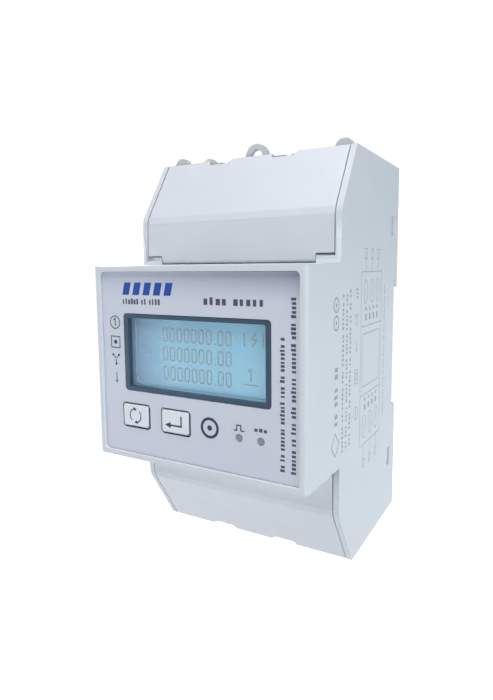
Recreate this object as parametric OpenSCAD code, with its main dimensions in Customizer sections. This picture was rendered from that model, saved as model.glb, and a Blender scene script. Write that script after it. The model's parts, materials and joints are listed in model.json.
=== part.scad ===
// Three-phase energy meter for a 35 mm top-hat rail: a narrow moulded case with a raised
// display block, two hinged terminal covers, six rising-cage terminals and a sprung rail clip.
// Frame: +X to the right, +Y from the front face towards the rail, +Z up the case.
// The origin is the middle of the face that rests on the rail.

/* [Case] */
// Width of one pole, a standard rail module
pole_pitch = 18; // [17.9:0.1:18]
// Height of the case
case_h = 98; // [97.5:0.5:98.5]
// Depth from the rail plane to the front rim
front_depth = 62; // [61.9:0.1:62.2]
// Depth from the rail plane to the shoulders beside the display block
shoulder_depth = 44; // [43.9:0.1:44.1]
// Depth from the rail plane to the top edge of a terminal cover
edge_depth = 34.3; // [34.2:0.1:34.5]
// Height at which a cover bends from upright to sloping
bend_z = 33.8; // [33.4:0.1:34]
// Thickness of the side walls
wall = 1.4; // [1.3:0.1:1.4]
// Thickness of a terminal cover
cover_t = 1.3; // [1.2:0.1:1.3]

/* [Display block] */
// Height of the block at its front rim
block_h = 44.4; // [44.2:0.1:44.5]
// Height of the block where it meets the shoulders
block_root_h = 45.2; // [45:0.1:45.2]
// Width of the faceplate recess
recess_w = 50.8; // [50.6:0.1:50.8]
// Height of the faceplate recess
recess_h = 42.1; // [41.9:0.1:42.1]
// Depth of the faceplate recess
recess_d = 1.05; // [1:0.05:1.1]
// Width of the display frame
frame_w = 38; // [37.6:0.1:38]
// Height of the display frame
frame_h = 17.9; // [17.7:0.1:17.9]
// Travel of a key
key_travel = 0.5; // [0.4:0.1:0.5]

/* [Terminals] */
// Height of the main screws above the middle of the case
screw_z = 40; // [39.9:0.1:40.1]
// Radius of a cable entry
entry_r = 4.1; // [3.9:0.1:4.1]
// Radius of a main screw's shank
shank_r = 2.9; // [2.8:0.1:2.9]
// Poles of the data and pulse strip
data_poles = 6; // [4:1:6]
// Pitch of the data and pulse strip
data_pitch = 5.08; // [5:0.01:5.08]
// Pitch of the two-pole neutral strip
neutral_pitch = 7.62; // [7:0.01:7.62]

/* [Rail clip] */
// Travel of the clip to free the rail
clip_travel = 4.5; // [4:0.5:4.5]
// Height of the hook above the rail's middle line
hook_z = 15.7; // [15.6:0.1:15.8]

/* [Hidden] */
$fn = 48;

poles = 3;
case_w = poles * pole_pitch;
half_w = case_w / 2;
half_h = case_h / 2;
inner_w = half_w - wall;
gap = 0.2;
rear_y = 3;

// Sloping part of the covers and of the side walls in front of the terminals
slope = atan((shoulder_depth - edge_depth) / (half_h - bend_z));
bend_cut = 0.95;
function slope_y(z, t) = -shoulder_depth + (z - bend_z) * tan(slope) + t / cos(slope);
bend_outer = [
    [-shoulder_depth, bend_z - bend_cut],
    [-shoulder_depth + bend_cut * sin(slope), bend_z + bend_cut * cos(slope)]
];
function bend_inner(t) = [-shoulder_depth + t, bend_z - t * tan(slope / 2)];

// Rail seat
seat_z = 14.8;
relief_y = -0.3;
groove_y = 1.25;
groove_z = 17.9;
foot_z = 18.3;
base_rear_y = 2.9;
base_front_y = -1.5;

// Display block
front_y = -front_depth;
panel_y = front_y + recess_d;
panel_back_y = panel_y + 1.55;
label_y = panel_y - 0.3;
cavity_z = 20.9;
shelf_z = 22;
partition_y = -33.4;
partition_t = 1.1;
partition_z = 33.2;
lcd_z = 2.65;
key_w = 7.15;
key_h = 4.95;
key_z = -12;
key_stem_y = -56.4;
scroll_x = -15.9;
enter_x = -4.7;
light_z = -13.1;
pulse_x = 11.5;
link_x = 16.6;
light_r = 0.72;
board_t = 1.6;
display_board_y = -54;
boss_x = 22;
boss_z = 18.2;
window_y = [-60.1, -59.5];
window_w = 36.6;
window_h = 16.9;
opening_w = 35.4;
opening_h = 15.8;
frame_corner_r = 0.9;

// Cover hinges
hinge_y = -43.05;
hinge_z = 23.7;
lip_r = shoulder_depth + hinge_y;
hinge_pin_r = 0.5;
hinge_bore_r = 0.56;
tongue_w = 20.95;
ledge_w = 21.15;
corner_z = 24.75;
cover_w = inner_w - 0.25;
notch_x = 5.7;
notch_w = 5.9;
notch_ramp = 0.9;
notch_d = 1;

// Terminal blocks
block_w = inner_w - gap;
block_front_y = -32.2;
block_rear_y = -1.6;
block_top_z = half_h - 0.1;
block_low_z = 31.9;
chamber_w = 6.7;
chamber_z = [33.4, 46.2];
chamber_front_y = -30.7;
entry_y = -10.75;
bar_y = [-17, -15];
bar_w = 4;
cage_w = 6.3;
cage_z = [34.5, 45.5];
cage_y = [-20.6, -5];
cage_hole_y = [-17.15, -6.5];
head_y = [-30.5, -27.9];
head_r = 3.4;
lug_y = [-31.8, -30.2];

// Boards
main_board_y = -30.4;
main_board_back_y = main_board_y + board_t;
post_x = pole_pitch / 2;
post_z = 23.5;
tap_z = 16;
header_z = -18.3;
header_pins_n = 8;
header_front_y = -38.4;

// Current transformers around the phase bars
core_y = -16;
core_r = 7.4;
core_bore_r = 5;
core_half_h = 6;
core_foot_w = 6;
core_foot_y = -7.8;

// Small terminal strips
strip_y = [-41.9, -33.6];
strip_z = [22.9, 31.6];
strip_wire_y = -36;
strip_wire_r = 1.4;
strip_grip = strip_wire_r + 0.1;
strip_screw_z = 28.8;
pin_z = 27;

// Snap fixings of the rear base
snap_x = 24.45;
snap_y = [-4.4, -1.5];
snap_z = [30.2, 35.3];

// Rail clip
clip_w = 10.4;
clip_neck_w = 8.9;
peg_z = -39.2;
spring_z = [peg_z, peg_z + clip_travel + 7.7];
spring_r = 1.15;
spring_wire = 0.4;
spring_y = 1;

// ---- shared shapes ----

module block(x, y, z)
    translate([x[0], y[0], z[0]]) cube([x[1] - x[0], y[1] - y[0], z[1] - z[0]]);

module slab(w, y, z) block([-w, w], y, z);

module rod_x(y, z, r, x)
    translate([x[0], y, z]) rotate([0, 90, 0]) cylinder(r = r, h = x[1] - x[0]);

module rod_y(x, z, r, y)
    translate([x, y[0], z]) rotate([-90, 0, 0]) cylinder(r = r, h = y[1] - y[0]);

module rod_z(x, y, r, z)
    translate([x, y, z[0]]) cylinder(r = r, h = z[1] - z[0]);

// Extrudes a Y-Z outline across the case
module across(x)
    translate([x[0], 0, 0]) rotate([90, 0, 90]) linear_extrude(x[1] - x[0]) children();

// Extrudes an X-Z outline from front to back
module front_to_back(y)
    translate([0, y[1], 0]) rotate([90, 0, 0]) linear_extrude(y[1] - y[0]) children();

module round_rect(w, h, r) {
    square([w - 2 * r, h], center = true);
    square([w, h - 2 * r], center = true);
    for (sx = [-1, 1], sz = [-1, 1])
        translate([sx * (w / 2 - r), sz * (h / 2 - r)]) circle(r);
}

module both_ends() {
    children();
    mirror([0, 0, 1]) children();
}

module both_sides() {
    children();
    mirror([1, 0, 0]) children();
}

module flip_down(lower)
    if (lower) mirror([0, 0, 1]) children();
    else children();

function pole_x(i) = (i - 2) * pole_pitch;

// ---- housing ----

function upper_outline() = [
    [rear_y, half_h], [-edge_depth, half_h], bend_outer[1], bend_outer[0],
    [-shoulder_depth, block_root_h / 2], [front_y, block_h / 2]
];

function flipped(points) = [for (i = [len(points) - 1:-1:0]) [points[i][0], -points[i][1]]];

module wall_outline() polygon(concat(
    upper_outline(),
    flipped(upper_outline()),
    [[rear_y, -foot_z - 1], [rear_y - 0.8, -foot_z], [relief_y, -foot_z],
     [relief_y, groove_z], [groove_y, groove_z], [groove_y, hook_z], [rear_y, hook_z]]
));

module block_outline() polygon([
    [-shoulder_depth, block_root_h / 2], [front_y, block_h / 2],
    [front_y, -block_h / 2], [-shoulder_depth, -block_root_h / 2]
]);

// Plan of the whole case, with its two front edges rounded
module case_plan(r = 1) {
    translate([-half_w, front_y + r]) square([case_w, front_depth + rear_y]);
    translate([-half_w + r, front_y]) square([case_w - 2 * r, 2 * r]);
    for (side = [-1, 1])
        translate([side * (half_w - r), front_y + r]) circle(r);
}

module hinge_ledge() {
    x = [ledge_w, inner_w + 0.1];
    difference() {
        union() {
            rod_x(hinge_y, hinge_z, lip_r - 0.02, x);
            block(x, [hinge_y, -41.6], [shelf_z, hinge_z + 0.9]);
            block(x, [-shoulder_depth, -41.6], [shelf_z, hinge_z]);
        }
        rod_x(hinge_y, hinge_z, hinge_bore_r, [ledge_w - 1, 23.4]);
    }
}

module board_boss()
    difference() {
        rod_y(boss_x, boss_z, 2, [panel_back_y - 0.1, display_board_y]);
        rod_y(boss_x, boss_z, 0.9, [panel_back_y + 0.9, display_board_y + 1]);
    }

module front_housing() color("whitesmoke") {
    difference() {
        union() {
            intersection() {
                union() {
                    both_sides() across([inner_w, half_w]) wall_outline();
                    difference() {
                        across([-half_w + 0.1, half_w - 0.1]) block_outline();
                        slab(inner_w, [panel_back_y, 0], [-cavity_z, cavity_z]);
                    }
                }
                translate([0, 0, -half_h]) linear_extrude(case_h) case_plan();
            }
            both_ends() {
                slab(inner_w + 0.1, [-shoulder_depth - 0.2, partition_y + 0.1], [cavity_z, shelf_z]);
                slab(inner_w + 0.1, [partition_y, partition_y + partition_t],
                    [cavity_z, partition_z]);
                both_sides() hinge_ledge();
            }
            both_ends() both_sides() board_boss();
        }
        // faceplate recess, display opening, key holes and light guide holes
        front_to_back([front_y - 1, panel_y]) round_rect(recess_w, recess_h, 1);
        translate([0, 0, lcd_z]) front_to_back([front_y, panel_back_y + 1])
            round_rect(frame_w, frame_h, frame_corner_r);
        for (x = [scroll_x, enter_x])
            translate([x, 0, key_z]) front_to_back([front_y, panel_back_y + 1])
                round_rect(key_w + 0.35, key_h + 0.35, 0.7);
        for (x = [pulse_x, link_x])
            rod_y(x, light_z, light_r + 0.08, [front_y, panel_back_y + 1]);
        // snap windows of the rear base
        both_ends() both_sides()
            block([inner_w - 1, half_w + 1], snap_y, snap_z);
        // contact pins of the small strips pass through the partitions
        strip_pin_holes(data_poles, data_pitch);
        mirror([0, 0, 1]) strip_pin_holes(2, neutral_pitch);
    }
}

module strip_pin_holes(n, pitch)
    for (i = [0:n - 1])
        rod_y((i - (n - 1) / 2) * pitch, pin_z, 0.7, [-35, main_board_y + 5]);

// ---- rear base ----

module base_outline() {
    top = half_h - 0.1;
    polygon([
        [base_front_y, top], [base_rear_y, top], [base_rear_y, hook_z], [groove_y, hook_z],
        [groove_y, groove_z], [relief_y, groove_z], [relief_y, seat_z], [0, seat_z],
        [0, -seat_z], [relief_y, -seat_z], [relief_y, -foot_z], [base_rear_y - 0.8, -foot_z],
        [base_rear_y, -foot_z - 1], [base_rear_y, -top], [base_front_y, -top]
    ]);
}

module snap_arm() {
    block([snap_x, block_w], [-5.6, base_front_y + 0.1], [snap_z[0] + 0.2, snap_z[1] - 0.2]);
    translate([0, 0, snap_z[0] + 0.2]) linear_extrude(snap_z[1] - snap_z[0] - 0.4)
        polygon([[block_w - 0.1, -5], [inner_w + 0.95, -3.4], [inner_w + 0.95, -1.75],
                 [block_w - 0.1, -1.75]]);
}

module rear_base() color("gainsboro") {
    channel = [-half_h - 1, -foot_z + 0.2];
    difference() {
        union() {
            across([-block_w, block_w]) base_outline();
            both_ends() both_sides() {
                snap_arm();
                rod_y(post_x, post_z, 2.2, [main_board_back_y, base_front_y + 0.1]);
            }
            // ribs that hold the current transformers
            for (i = [1:poles]) both_ends()
                translate([pole_x(i), 0, 0])
                    slab(core_foot_w, [core_foot_y + 0.1, base_front_y + 0.1], [3.5, 5]);
        }
        both_ends() both_sides()
            rod_y(post_x, post_z, 0.9, [main_board_back_y - 1, main_board_back_y + 8]);
        // moulded pockets behind the upper terminals
        for (i = [1:poles])
            block([pole_x(i) - 6, pole_x(i) + 6], [0.9, 4], [22, 44]);
        both_sides() block([13, 23], [0.9, 4], [-44, -23]);
        // tee-shaped channel for the rail clip, open at the back and at both ends
        slab(clip_w + 0.2, [-0.35, groove_y], channel);
        slab(clip_neck_w + 0.2, [groove_y - 0.1, 4], channel);
    }
    // peg that the clip spring pushes on
    slab(2, [-0.45, 1.9], [spring_z[0] - 1.4, spring_z[0]]);
}

// ---- terminal blocks ----

module arch(x, z, outer, inner)
    front_to_back(lug_y) translate([x, z]) difference() {
        circle(outer);
        circle(inner);
    }

module ear(x, z, r) front_to_back(lug_y) translate([x, z]) circle(r);

module sealing_lugs() {
    arch(0, half_h + 0.4, 3.1, 1.7);
    both_sides() ear(23, half_h - 0.1, 2.3);
    ear(-14.2, half_h - 0.6, 1.9);
}

module main_terminal_block() {
    difference() {
        slab(block_w, [block_front_y, block_rear_y], [block_low_z, block_top_z]);
        for (i = [1:poles]) translate([pole_x(i), 0, 0]) {
            slab(chamber_w, [chamber_front_y, 0], chamber_z);
            rod_z(0, entry_y, entry_r, [chamber_z[1] - 1, half_h + 1]);
            translate([0, entry_y, block_top_z - 0.7])
                cylinder(r1 = entry_r, r2 = entry_r + 0.9, h = 0.8);
            rod_y(0, screw_z, 3.1, [block_front_y - 1, chamber_front_y + 1]);
            slab(bar_w + 0.2, [bar_y[0] - 0.2, bar_y[1] + 0.2], [block_low_z - 1, chamber_z[0] + 1]);
        }
        // creepage slots between the poles
        both_sides() block([post_x - 0.9, post_x + 0.9], [block_front_y - 1, -20], [37, half_h + 1]);
        // room for the snap arms
        both_sides() block([23.7, half_w], [-6, 0], [block_low_z - 1, snap_z[1] + 0.3]);
    }
}

module upper_terminal_block() color("gainsboro") {
    main_terminal_block();
    sealing_lugs();
}

module lower_terminal_block() color("gainsboro") flip_down(true) main_terminal_block();

module cage(i, lower) color("silver") flip_down(lower) translate([pole_x(i), 0, 0])
    difference() {
        slab(cage_w, cage_y, cage_z);
        slab(cage_w - 1.2, cage_hole_y, [cage_z[0] - 1, cage_z[1] + 1]);
        rod_y(0, screw_z, shank_r + 0.06, [cage_y[0] - 1, cage_hole_y[0] + 1]);
    }

module main_screw(i, lower) color("lightsteelblue") flip_down(lower) translate([pole_x(i), 0, 0])
    difference() {
        union() {
            rod_y(0, screw_z, head_r, head_y);
            rod_y(0, screw_z, shank_r, [head_y[1] - 0.1, bar_y[0] - 0.05]);
        }
        for (turn = [0, 90])
            translate([0, head_y[0], screw_z]) rotate([0, turn, 0])
                translate([-2.4, -1, -0.45]) cube([4.8, 2.2, 0.9]);
    }

module phase_bar(i) color("peru") translate([pole_x(i), 0, 0])
    difference() {
        slab(bar_w, bar_y, [-cage_z[1], cage_z[1]]);
        rod_y(0, tap_z, 0.6, [bar_y[0] - 1, bar_y[1] + 1]);
    }

module current_transformer(i) color("midnightblue") translate([pole_x(i), 0, 0])
    difference() {
        union() {
            rod_z(0, core_y, core_r, [-core_half_h, core_half_h]);
            slab(core_foot_w, [core_y, core_foot_y], [-core_half_h, core_half_h]);
        }
        rod_z(0, core_y, core_bore_r, [-core_half_h - 1, core_half_h + 1]);
    }

// ---- covers ----

module cover_shell() {
    difference() {
        union() {
            across([-cover_w, cover_w]) polygon([
                [-shoulder_depth, corner_z], bend_outer[0], bend_outer[1],
                [slope_y(half_h, 0), half_h], [slope_y(half_h, cover_t), half_h],
                bend_inner(cover_t), [-shoulder_depth + cover_t, corner_z]
            ]);
            slab(tongue_w, [-shoulder_depth, -shoulder_depth + cover_t], [hinge_z, corner_z + 0.1]);
            rod_x(hinge_y, hinge_z, lip_r, [-tongue_w, tongue_w]);
            rod_x(hinge_y, hinge_z, hinge_pin_r, [-23.2, 23.2]);
            // stiffening ribs behind the sloping face
            both_sides() across([22.6, 23.8]) polygon([
                [-shoulder_depth + cover_t - 0.1, 27], bend_inner(cover_t - 0.1),
                [slope_y(45, cover_t - 0.1), 45], [slope_y(45, 2.4), 45],
                bend_inner(2.4), [-shoulder_depth + 2.4, 27]
            ]);
        }
        // notches in the free edge that let thin wires out
        for (i = [1:poles - 1])
            front_to_back([-40, -25]) polygon([
                [pole_x(i) + notch_x, half_h + 1], [pole_x(i) + notch_x, half_h - notch_d],
                [pole_x(i) + notch_x + notch_w, half_h - notch_d],
                [pole_x(i) + notch_x + notch_w + notch_ramp, half_h],
                [pole_x(i) + notch_x + notch_w + notch_ramp, half_h + 1]
            ]);
    }
}

module upper_cover() color("white") cover_shell();

module lower_cover() color("white") flip_down(true) cover_shell();

// ---- front panel and display ----

module faceplate() color("lavender")
    difference() {
        front_to_back([label_y, panel_y]) round_rect(recess_w - 0.2, recess_h - 0.2, 0.9);
        translate([0, 0, lcd_z]) front_to_back([label_y - 1, panel_y + 1])
            round_rect(frame_w, frame_h, frame_corner_r);
        for (x = [scroll_x, enter_x])
            translate([x, 0, key_z]) front_to_back([label_y - 1, panel_y + 1])
                round_rect(key_w + 0.35, key_h + 0.35, 0.7);
        for (x = [pulse_x, link_x])
            rod_y(x, light_z, light_r + 0.08, [label_y - 1, panel_y + 1]);
    }

module lcd_frame() color("darkslategray")
    translate([0, 0, lcd_z]) difference() {
        union() {
            front_to_back([label_y + 0.05, panel_back_y + 0.8])
                round_rect(frame_w - 0.2, frame_h - 0.2, frame_corner_r - 0.1);
            front_to_back([panel_back_y + 0.05, panel_back_y + 0.8])
                square([frame_w + 1.6, frame_h + 1.4], center = true);
        }
        front_to_back([front_y, window_y[0] + 0.1])
            round_rect(opening_w, opening_h, frame_corner_r / 2);
        front_to_back([window_y[0] - 0.02, -55])
            square([window_w + 0.2, window_h + 0.2], center = true);
    }

module lcd_window() color("aliceblue")
    translate([0, 0, lcd_z]) front_to_back(window_y) square([window_w, window_h], center = true);

module lcd_panel() color("lightblue")
    translate([0, 0, lcd_z]) front_to_back([-59.4, -57.4])
        square([window_w - 0.2, window_h - 0.2], center = true);

module backlight() color("white")
    translate([0, 0, lcd_z]) front_to_back([-57.3, display_board_y - 0.1])
        square([window_w + 1, window_h + 0.8], center = true);

module key(x) color("lavender") translate([x, 0, key_z]) {
    front_to_back([label_y - 0.35, panel_back_y + 0.1]) round_rect(key_w, key_h, 0.6);
    front_to_back([panel_back_y + 0.1, panel_back_y + 1])
        square([key_w + 1.2, key_h + 1], center = true);
    rod_y(0, 0, 1.5, [panel_back_y + 0.9, key_stem_y]);
}

module scroll_key() key(scroll_x);

module enter_key() key(enter_x);

module key_switches() color("dimgray")
    for (x = [scroll_x, enter_x]) translate([x, 0, key_z])
        difference() {
            slab(3, [-57.4, display_board_y], [-3, 3]);
            rod_y(0, 0, 1.6, [-58, key_stem_y + key_travel + 0.4]);
        }

module light_guide(x) color("gainsboro") {
    rod_y(x, light_z, light_r, [label_y - 0.05, panel_back_y + 2.6]);
    rod_y(x, light_z, 1.4, [panel_back_y + 0.05, panel_back_y + 0.8]);
}

module pulse_light_guide() light_guide(pulse_x);

module link_light_guide() light_guide(link_x);

module indicator_leds() color("mistyrose")
    for (x = [pulse_x, link_x]) {
        block([x - 1.5, x + 1.5], [-55.4, display_board_y], [light_z - 1, light_z + 1]);
        rod_y(x, light_z, 0.8, [-56, -55.3]);
    }

module display_board() color("seagreen")
    difference() {
        slab(24.6, [display_board_y, display_board_y + board_t], [-20.3, 20.3]);
        both_ends() both_sides()
            rod_y(boss_x, boss_z, 1.1, [display_board_y - 1, display_board_y + board_t + 1]);
    }

// A pan-head screw driven forwards, with its head behind the board
module board_screw(x, z, y, length, head, dir) {
    shank = dir > 0 ? [y - 0.1, y + length] : [y - length, y + 0.1];
    cap = dir > 0 ? [y - head, y] : [y, y + head];
    difference() {
        union() {
            rod_y(x, z, 0.85, shank);
            rod_y(x, z, 1.8, cap);
        }
        translate([x, dir > 0 ? y - head : y + head, z])
            cube([2.6, 1, 0.5], center = true);
    }
}

module display_board_screws() color("silver")
    both_ends() both_sides()
        board_screw(boss_x, boss_z, display_board_y + board_t, 5.4, 1.3, -1);

module controller_chip() color("black")
    slab(5, [display_board_y + board_t, display_board_y + board_t + 1.4], [2, 12]);

// ---- boards behind the display ----

module board_header() color("black")
    slab(10.8, [header_front_y, main_board_y], [header_z - 1.5, header_z + 1.5]);

module header_pins() color("gold")
    for (i = [0:header_pins_n - 1])
        translate([(i - (header_pins_n - 1) / 2) * 2.54, 0, header_z])
            slab(0.32, [display_board_y + board_t, header_front_y], [-0.32, 0.32]);

module main_board() color("seagreen")
    difference() {
        slab(24, [main_board_y, main_board_back_y], [-30, 30]);
        both_ends() both_sides()
            rod_y(post_x, post_z, 1.1, [main_board_y - 1, main_board_back_y + 1]);
        for (i = [1:poles])
            rod_y(pole_x(i), tap_z, 0.6, [main_board_y - 1, main_board_back_y + 1]);
        strip_pin_holes(data_poles, data_pitch);
        mirror([0, 0, 1]) strip_pin_holes(2, neutral_pitch);
    }

module main_board_screws() color("silver")
    both_ends() both_sides()
        board_screw(post_x, post_z, main_board_y, 7.5, 1.4, 1);

module supply_transformer() color("orange") {
    block([-22, -6], [-44.4, main_board_y], [-2, 0]);
    block([-22, -6], [-44.4, main_board_y], [10, 12]);
    block([-20, -8], [-43.4, main_board_y - 1], [-0.1, 10.1]);
}

module filter_capacitors() color("slategray")
    for (z = [8.5, -3])
        rod_y(3, z, 5, [-46.4, main_board_y]);

module surge_discs() color("royalblue")
    for (z = [11, 3, -5])
        translate([14.5, 0, 0]) rod_x(-36.6, z, 3.6, [0, 3.6]);

module metering_chip() color("black")
    slab(5, [main_board_back_y, main_board_back_y + 1.4], [19, 24]);

module opto_isolators() color("ivory")
    for (x = [-14, -5, 4])
        block([x - 3.2, x + 3.2], [-34, main_board_y], [15, 19.6]);

module voltage_taps() color("gold")
    for (i = [1:poles])
        rod_y(pole_x(i), tap_z, 0.5, [main_board_y - 0.6, bar_y[1] + 0.4]);

// ---- small terminal strips ----

module strip_body(n, pitch)
    difference() {
        slab(n * pitch / 2 + 0.2, strip_y, strip_z);
        for (i = [0:n - 1]) translate([(i - (n - 1) / 2) * pitch, 0, 0]) {
            rod_y(0, strip_screw_z, 1.9, [strip_y[0] - 1, -38]);
            rod_z(0, strip_wire_y, strip_wire_r, [26, strip_z[1] + 1]);
            slab(2.05, [-38.2, strip_y[1] + 1], [25.5, 30.4]);
        }
    }

module strip_screws(n, pitch)
    for (i = [0:n - 1]) translate([(i - (n - 1) / 2) * pitch, 0, 0])
        difference() {
            union() {
                rod_y(0, strip_screw_z, 1.75, [-40.6, -39]);
                rod_y(0, strip_screw_z, 0.95, [-39.1, -37.55]);
            }
            translate([0, -40.6, strip_screw_z]) cube([2.8, 1.2, 0.6], center = true);
        }

module strip_contacts(n, pitch)
    for (i = [0:n - 1]) translate([(i - (n - 1) / 2) * pitch, 0, 0]) {
        difference() {
            slab(1.9, [-38.1, -33.9], [25.8, 30.2]);
            slab(strip_grip, [strip_wire_y - strip_grip, strip_wire_y + strip_grip], [25, 31]);
            rod_y(0, strip_screw_z, 1, [-39, strip_wire_y]);
        }
        rod_y(0, pin_z, 0.5, [-34, main_board_back_y + 0.6]);
    }

module data_strip() color("darkseagreen") strip_body(data_poles, data_pitch);

module data_strip_screws() color("silver") strip_screws(data_poles, data_pitch);

module data_strip_contacts() color("gold") strip_contacts(data_poles, data_pitch);

module neutral_strip() color("slategray") flip_down(true) strip_body(2, neutral_pitch);

module neutral_strip_screws() color("silver") flip_down(true) strip_screws(2, neutral_pitch);

module neutral_strip_contacts() color("gold") flip_down(true) strip_contacts(2, neutral_pitch);

// ---- rail clip ----

module rail_clip() color("dimgray")
    difference() {
        union() {
            slab(clip_w, [-0.2, 1.1], [-48.6, -foot_z - 0.4]);
            slab(clip_neck_w, [1, 2.8], [-49.4, -foot_z - 0.4]);
            // jaw that grips behind the rail's lower edge
            across([-clip_neck_w, clip_neck_w]) polygon([
                [groove_y, -foot_z - 0.5], [groove_y, -hook_z], [1.7, -hook_z],
                [2.8, -hook_z - 1.5], [2.8, -foot_z - 0.5]
            ]);
            slab(6, [-0.2, 2.8], [-51.5, -48.5]);
        }
        slab(2.4, [-1, 4], [-41, spring_z[1]]);
        slab(3, [-1, 4], [-50.9, -49.9]);
    }

module clip_spring() color("silver")
    difference() {
        rod_z(0, spring_y, spring_r, spring_z);
        rod_z(0, spring_y, spring_r - spring_wire, [spring_z[0] - 1, spring_z[1] + 1]);
    }

front_housing();
rear_base();
upper_terminal_block();
lower_terminal_block();
upper_cover();
lower_cover();
faceplate();
lcd_frame();
lcd_window();
lcd_panel();
backlight();
scroll_key();
enter_key();
key_switches();
pulse_light_guide();
link_light_guide();
indicator_leds();
display_board();
display_board_screws();
controller_chip();
board_header();
header_pins();
main_board();
main_board_screws();
supply_transformer();
filter_capacitors();
surge_discs();
metering_chip();
opto_isolators();
voltage_taps();
data_strip();
data_strip_screws();
data_strip_contacts();
neutral_strip();
neutral_strip_screws();
neutral_strip_contacts();
rail_clip();
clip_spring();
for (i = [1:poles]) {
    phase_bar(i);
    current_transformer(i);
    cage(i, false);
    main_screw(i, false);
    cage(i, true);
    main_screw(i, true);
}
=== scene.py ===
"""Looks of a three-phase energy meter for a 35 mm rail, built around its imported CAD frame.

Everything is in metres in the CAD's own frame: +X to the right, +Y from the front face
towards the rail, +Z up. Sizes below are given in millimetres and scaled by MM.
"""

import json
import math
import random

import bmesh
import bpy
from mathutils import Euler, Matrix, Vector


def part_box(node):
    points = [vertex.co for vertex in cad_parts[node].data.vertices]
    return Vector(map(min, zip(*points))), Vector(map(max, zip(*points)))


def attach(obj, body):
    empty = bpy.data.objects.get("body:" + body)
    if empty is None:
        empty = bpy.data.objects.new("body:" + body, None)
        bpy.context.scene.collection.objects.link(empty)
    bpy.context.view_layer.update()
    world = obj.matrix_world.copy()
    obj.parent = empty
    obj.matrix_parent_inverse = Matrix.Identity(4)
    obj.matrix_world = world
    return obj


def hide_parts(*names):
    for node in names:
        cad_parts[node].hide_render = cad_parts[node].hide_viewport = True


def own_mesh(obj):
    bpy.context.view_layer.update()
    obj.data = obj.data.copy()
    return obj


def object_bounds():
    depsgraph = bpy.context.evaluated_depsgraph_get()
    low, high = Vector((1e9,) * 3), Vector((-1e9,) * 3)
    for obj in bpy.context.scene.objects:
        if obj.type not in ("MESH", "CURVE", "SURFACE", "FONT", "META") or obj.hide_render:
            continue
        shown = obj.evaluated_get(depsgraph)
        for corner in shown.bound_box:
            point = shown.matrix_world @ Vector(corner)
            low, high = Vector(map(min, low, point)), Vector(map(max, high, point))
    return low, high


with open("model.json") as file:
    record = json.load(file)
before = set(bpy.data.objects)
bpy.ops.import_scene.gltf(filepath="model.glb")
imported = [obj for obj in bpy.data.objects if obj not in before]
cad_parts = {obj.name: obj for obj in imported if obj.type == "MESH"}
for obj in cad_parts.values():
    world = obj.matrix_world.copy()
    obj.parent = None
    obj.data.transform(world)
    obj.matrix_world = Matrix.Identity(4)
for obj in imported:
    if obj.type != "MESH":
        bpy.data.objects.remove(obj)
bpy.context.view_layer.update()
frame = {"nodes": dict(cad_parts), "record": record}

MM = 0.001
RECORD_SLOTS = {part["node"]: part["material_slot"] for part in frame["record"]["subparts"]}
NODE_BODY = {node: body for body, nodes in frame["record"]["behaviour"]["bodies"].items()
             for node in nodes}


# ---------------------------------------------------------------- shader helpers

NOISE_RANGE = (0.3, 0.7)


def add(material, kind, inputs=None, **settings):
    """A new node of the material, with its settings and its inputs set or linked"""
    tree = material.node_tree
    made = tree.nodes.new("ShaderNode" + kind)
    for key, value in settings.items():
        setattr(made, key, value)
    for key, value in (inputs or {}).items():
        if isinstance(value, bpy.types.NodeSocket):
            tree.links.new(value, made.inputs[key])
        else:
            made.inputs[key].default_value = value
    return made


def surface_of(material):
    return material.node_tree.nodes["Principled BSDF"]


def plug(material, socket, name):
    """Links a socket to an input of the material's surface shader"""
    material.node_tree.links.new(socket, surface_of(material).inputs[name])


def principled(name, **sockets):
    """A material with one Principled surface, its plain sockets set by their names"""
    material = bpy.data.materials.new(name)
    material.use_nodes = True
    for key, value in sockets.items():
        surface_of(material).inputs[key.replace("_", " ")].default_value = value
    return material


def rgba(colour):
    return (*colour, 1.0)


def scaled(colour, share):
    return tuple(min(1.0, channel * share) for channel in colour)


def placed(material, stretch=(1, 1, 1)):
    """Object coordinates, stretched along each axis"""
    coordinates = add(material, "TexCoord").outputs["Object"]
    return add(material, "Mapping", {"Vector": coordinates, "Scale": stretch}).outputs[0]


def noise(material, size, detail=2.0, stretch=(1, 1, 1)):
    """Noise with features of the given size in millimetres"""
    return add(material, "TexNoise", {"Vector": placed(material, stretch), "Scale": 1 / (size * MM),
                                      "Detail": detail}).outputs[0]


def ramp(material, value, source, target, **settings):
    """Maps one range of values onto another"""
    return add(material, "MapRange", {"Value": value, "From Min": source[0], "From Max": source[1],
                                      "To Min": target[0], "To Max": target[1]},
               **settings).outputs[0]


def spread(material, value, low, high):
    """Maps a noise's usual range onto low to high"""
    return ramp(material, value, NOISE_RANGE, (low, high))


def blend_colours(material, share, first, second):
    """Mixes two colours, or two colour sockets, by a share from 0 to 1"""
    mix = add(material, "Mix", data_type="RGBA")
    for key, value in ((0, share), (6, first), (7, second)):
        if isinstance(value, bpy.types.NodeSocket):
            material.node_tree.links.new(value, mix.inputs[key])
        else:
            mix.inputs[key].default_value = value if key == 0 else rgba(value)
    return mix.outputs[2]


def bumps(material, layers):
    """Stacks bumps, each a height socket with its depth in millimetres"""
    normal = None
    for height, depth in layers:
        bump = add(material, "Bump", {"Height": height, "Distance": depth * MM})
        if normal is not None:
            material.node_tree.links.new(normal, bump.inputs["Normal"])
        normal = bump.outputs[0]
    plug(material, normal, "Normal")


# ---------------------------------------------------------------- materials

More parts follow.
